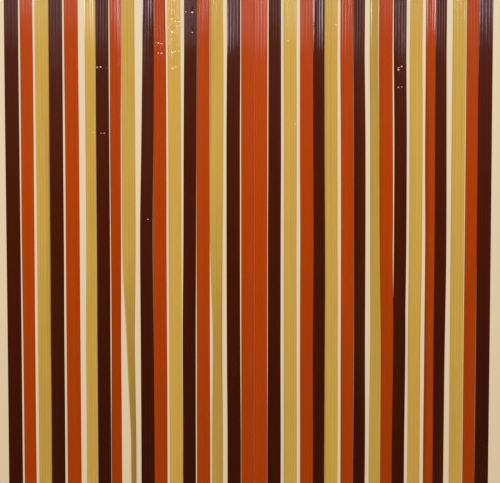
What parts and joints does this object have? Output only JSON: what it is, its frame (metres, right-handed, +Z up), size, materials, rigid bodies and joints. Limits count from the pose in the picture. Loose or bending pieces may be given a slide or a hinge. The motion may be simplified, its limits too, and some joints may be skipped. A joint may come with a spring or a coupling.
{
  "type": "strip door curtain",
  "caption": "Door curtain of ribbed PVC ribbons hung by welded loops on a steel rod inside an aluminium head rail, with end caps and top clips screwed under a lintel.",
  "frame": {"origin": "The middle of the middle clip's top face, which bears on the underside of the lintel, halfway along the rail.", "axes": "Z up out of the clips' top faces, X along the rail to the picture's right, and Y out of the back, so the pictured side faces -Y."},
  "size_m": [0.9044, 0.035, 2.0222],
  "materials": {
    "pvc_brown": "ribbed soft PVC, satin gloss",
    "pvc_orange": "ribbed soft PVC, satin gloss",
    "pvc_ochre": "ribbed soft PVC, satin gloss",
    "anodised_aluminium": "satin anodised extrusion",
    "zinc_plated_steel": "bright zinc plated",
    "moulded_nylon": "fine matt moulded"
  },
  "bodies": {
    "head": {"cap_screw_left_back": "zinc_plated_steel", "cap_screw_left_front": "zinc_plated_steel", "cap_screw_right_back": "zinc_plated_steel", "cap_screw_right_front": "zinc_plated_steel", "clip_screw_1a": "zinc_plated_steel", "clip_screw_1b": "zinc_plated_steel", "clip_screw_2a": "zinc_plated_steel", "clip_screw_2b": "zinc_plated_steel", "clip_screw_3a": "zinc_plated_steel", "clip_screw_3b": "zinc_plated_steel", "end_cap_left": "moulded_nylon", "end_cap_right": "moulded_nylon", "hanging_rod": "zinc_plated_steel", "head_rail": "anodised_aluminium", "rod_support_1": "moulded_nylon", "rod_support_2": "moulded_nylon", "support_screw_1": "zinc_plated_steel", "support_screw_2": "zinc_plated_steel", "top_clip_1": "moulded_nylon", "top_clip_2": "moulded_nylon", "top_clip_3": "moulded_nylon"},
    "ribbon_01_body": {"ribbon_01": "pvc_brown"},
    "ribbon_02_body": {"ribbon_02": "pvc_orange"},
    "ribbon_03_body": {"ribbon_03": "pvc_ochre"},
    "ribbon_04_body": {"ribbon_04": "pvc_brown"},
    "ribbon_05_body": {"ribbon_05": "pvc_orange"},
    "ribbon_06_body": {"ribbon_06": "pvc_ochre"},
    "ribbon_07_body": {"ribbon_07": "pvc_brown"},
    "ribbon_08_body": {"ribbon_08": "pvc_orange"},
    "ribbon_09_body": {"ribbon_09": "pvc_ochre"},
    "ribbon_10_body": {"ribbon_10": "pvc_brown"},
    "ribbon_11_body": {"ribbon_11": "pvc_orange"},
    "ribbon_12_body": {"ribbon_12": "pvc_ochre"},
    "ribbon_13_body": {"ribbon_13": "pvc_brown"},
    "ribbon_14_body": {"ribbon_14": "pvc_orange"},
    "ribbon_15_body": {"ribbon_15": "pvc_ochre"},
    "ribbon_16_body": {"ribbon_16": "pvc_brown"},
    "ribbon_17_body": {"ribbon_17": "pvc_orange"},
    "ribbon_18_body": {"ribbon_18": "pvc_orange"},
    "ribbon_19_body": {"ribbon_19": "pvc_brown"},
    "ribbon_20_body": {"ribbon_20": "pvc_ochre"},
    "ribbon_21_body": {"ribbon_21": "pvc_orange"},
    "ribbon_22_body": {"ribbon_22": "pvc_brown"},
    "ribbon_23_body": {"ribbon_23": "pvc_ochre"},
    "ribbon_24_body": {"ribbon_24": "pvc_orange"},
    "ribbon_25_body": {"ribbon_25": "pvc_brown"},
    "ribbon_26_body": {"ribbon_26": "pvc_ochre"},
    "ribbon_27_body": {"ribbon_27": "pvc_orange"},
    "ribbon_28_body": {"ribbon_28": "pvc_brown"},
    "ribbon_29_body": {"ribbon_29": "pvc_ochre"},
    "ribbon_30_body": {"ribbon_30": "pvc_orange"},
    "ribbon_31_body": {"ribbon_31": "pvc_brown"},
    "ribbon_32_body": {"ribbon_32": "pvc_ochre"},
    "ribbon_33_body": {"ribbon_33": "pvc_orange"},
    "ribbon_34_body": {"ribbon_34": "pvc_brown"}
  },
  "joints": [
    {"name": "ribbon_01_swing", "type": "hinge", "parent": "head", "child": "ribbon_01_body", "pos_m": [-0.42811, 0, -0.01555], "axis": [1, 0, 0], "range_deg": [-60, 60]},
    {"name": "ribbon_02_swing", "type": "hinge", "parent": "head", "child": "ribbon_02_body", "pos_m": [-0.4012, 0, -0.01555], "axis": [1, 0, 0], "range_deg": [-60, 60]},
    {"name": "ribbon_03_swing", "type": "hinge", "parent": "head", "child": "ribbon_03_body", "pos_m": [-0.37408, 0, -0.01555], "axis": [1, 0, 0], "range_deg": [-60, 60]},
    {"name": "ribbon_04_swing", "type": "hinge", "parent": "head", "child": "ribbon_04_body", "pos_m": [-0.34917, 0, -0.01555], "axis": [1, 0, 0], "range_deg": [-60, 60]},
    {"name": "ribbon_05_swing", "type": "hinge", "parent": "head", "child": "ribbon_05_body", "pos_m": [-0.32077, 0, -0.01555], "axis": [1, 0, 0], "range_deg": [-60, 60]},
    {"name": "ribbon_06_swing", "type": "hinge", "parent": "head", "child": "ribbon_06_body", "pos_m": [-0.28724, 0, -0.01555], "axis": [1, 0, 0], "range_deg": [-60, 60]},
    {"name": "ribbon_07_swing", "type": "hinge", "parent": "head", "child": "ribbon_07_body", "pos_m": [-0.26477, 0, -0.01555], "axis": [1, 0, 0], "range_deg": [-60, 60]},
    {"name": "ribbon_08_swing", "type": "hinge", "parent": "head", "child": "ribbon_08_body", "pos_m": [-0.24145, 0, -0.01555], "axis": [1, 0, 0], "range_deg": [-60, 60]},
    {"name": "ribbon_09_swing", "type": "hinge", "parent": "head", "child": "ribbon_09_body", "pos_m": [-0.21796, 0, -0.01555], "axis": [1, 0, 0], "range_deg": [-60, 60]},
    {"name": "ribbon_10_swing", "type": "hinge", "parent": "head", "child": "ribbon_10_body", "pos_m": [-0.18562, 0, -0.01555], "axis": [1, 0, 0], "range_deg": [-60, 60]},
    {"name": "ribbon_11_swing", "type": "hinge", "parent": "head", "child": "ribbon_11_body", "pos_m": [-0.16136, 0, -0.01555], "axis": [1, 0, 0], "range_deg": [-60, 60]},
    {"name": "ribbon_12_swing", "type": "hinge", "parent": "head", "child": "ribbon_12_body", "pos_m": [-0.13417, 0, -0.01555], "axis": [1, 0, 0], "range_deg": [-60, 60]},
    {"name": "ribbon_13_swing", "type": "hinge", "parent": "head", "child": "ribbon_13_body", "pos_m": [-0.10724, 0, -0.01555], "axis": [1, 0, 0], "range_deg": [-60, 60]},
    {"name": "ribbon_14_swing", "type": "hinge", "parent": "head", "child": "ribbon_14_body", "pos_m": [-0.08279, 0, -0.01555], "axis": [1, 0, 0], "range_deg": [-60, 60]},
    {"name": "ribbon_15_swing", "type": "hinge", "parent": "head", "child": "ribbon_15_body", "pos_m": [-0.05835, 0, -0.01555], "axis": [1, 0, 0], "range_deg": [-60, 60]},
    {"name": "ribbon_16_swing", "type": "hinge", "parent": "head", "child": "ribbon_16_body", "pos_m": [-0.02753, 0, -0.01555], "axis": [1, 0, 0], "range_deg": [-60, 60]},
    {"name": "ribbon_17_swing", "type": "hinge", "parent": "head", "child": "ribbon_17_body", "pos_m": [-0.00172, 0, -0.01555], "axis": [1, 0, 0], "range_deg": [-60, 60]},
    {"name": "ribbon_18_swing", "type": "hinge", "parent": "head", "child": "ribbon_18_body", "pos_m": [0.02244, 0, -0.01555], "axis": [1, 0, 0], "range_deg": [-60, 60]},
    {"name": "ribbon_19_swing", "type": "hinge", "parent": "head", "child": "ribbon_19_body", "pos_m": [0.04726, 0, -0.01555], "axis": [1, 0, 0], "range_deg": [-60, 60]},
    {"name": "ribbon_20_swing", "type": "hinge", "parent": "head", "child": "ribbon_20_body", "pos_m": [0.07557, 0, -0.01555], "axis": [1, 0, 0], "range_deg": [-60, 60]},
    {"name": "ribbon_21_swing", "type": "hinge", "parent": "head", "child": "ribbon_21_body", "pos_m": [0.10552, 0, -0.01555], "axis": [1, 0, 0], "range_deg": [-60, 60]},
    {"name": "ribbon_22_swing", "type": "hinge", "parent": "head", "child": "ribbon_22_body", "pos_m": [0.12829, 0, -0.01555], "axis": [1, 0, 0], "range_deg": [-60, 60]},
    {"name": "ribbon_23_swing", "type": "hinge", "parent": "head", "child": "ribbon_23_body", "pos_m": [0.15134, 0, -0.01555], "axis": [1, 0, 0], "range_deg": [-60, 60]},
    {"name": "ribbon_24_swing", "type": "hinge", "parent": "head", "child": "ribbon_24_body", "pos_m": [0.17984, 0, -0.01555], "axis": [1, 0, 0], "range_deg": [-60, 60]},
    {"name": "ribbon_25_swing", "type": "hinge", "parent": "head", "child": "ribbon_25_body", "pos_m": [0.20231, 0, -0.01555], "axis": [1, 0, 0], "range_deg": [-60, 60]},
    {"name": "ribbon_26_swing", "type": "hinge", "parent": "head", "child": "ribbon_26_body", "pos_m": [0.23083, 0, -0.01555], "axis": [1, 0, 0], "range_deg": [-60, 60]},
    {"name": "ribbon_27_swing", "type": "hinge", "parent": "head", "child": "ribbon_27_body", "pos_m": [0.25189, 0, -0.01555], "axis": [1, 0, 0], "range_deg": [-60, 60]},
    {"name": "ribbon_28_swing", "type": "hinge", "parent": "head", "child": "ribbon_28_body", "pos_m": [0.27625, 0, -0.01555], "axis": [1, 0, 0], "range_deg": [-60, 60]},
    {"name": "ribbon_29_swing", "type": "hinge", "parent": "head", "child": "ribbon_29_body", "pos_m": [0.30436, 0, -0.01555], "axis": [1, 0, 0], "range_deg": [-60, 60]},
    {"name": "ribbon_30_swing", "type": "hinge", "parent": "head", "child": "ribbon_30_body", "pos_m": [0.32961, 0, -0.01555], "axis": [1, 0, 0], "range_deg": [-60, 60]},
    {"name": "ribbon_31_swing", "type": "hinge", "parent": "head", "child": "ribbon_31_body", "pos_m": [0.34859, 0, -0.01555], "axis": [1, 0, 0], "range_deg": [-60, 60]},
    {"name": "ribbon_32_swing", "type": "hinge", "parent": "head", "child": "ribbon_32_body", "pos_m": [0.37999, 0, -0.01555], "axis": [1, 0, 0], "range_deg": [-60, 60]},
    {"name": "ribbon_33_swing", "type": "hinge", "parent": "head", "child": "ribbon_33_body", "pos_m": [0.40423, 0, -0.01555], "axis": [1, 0, 0], "range_deg": [-60, 60]},
    {"name": "ribbon_34_swing", "type": "hinge", "parent": "head", "child": "ribbon_34_body", "pos_m": [0.42839, 0, -0.01555], "axis": [1, 0, 0], "range_deg": [-60, 60]}
  ]
}
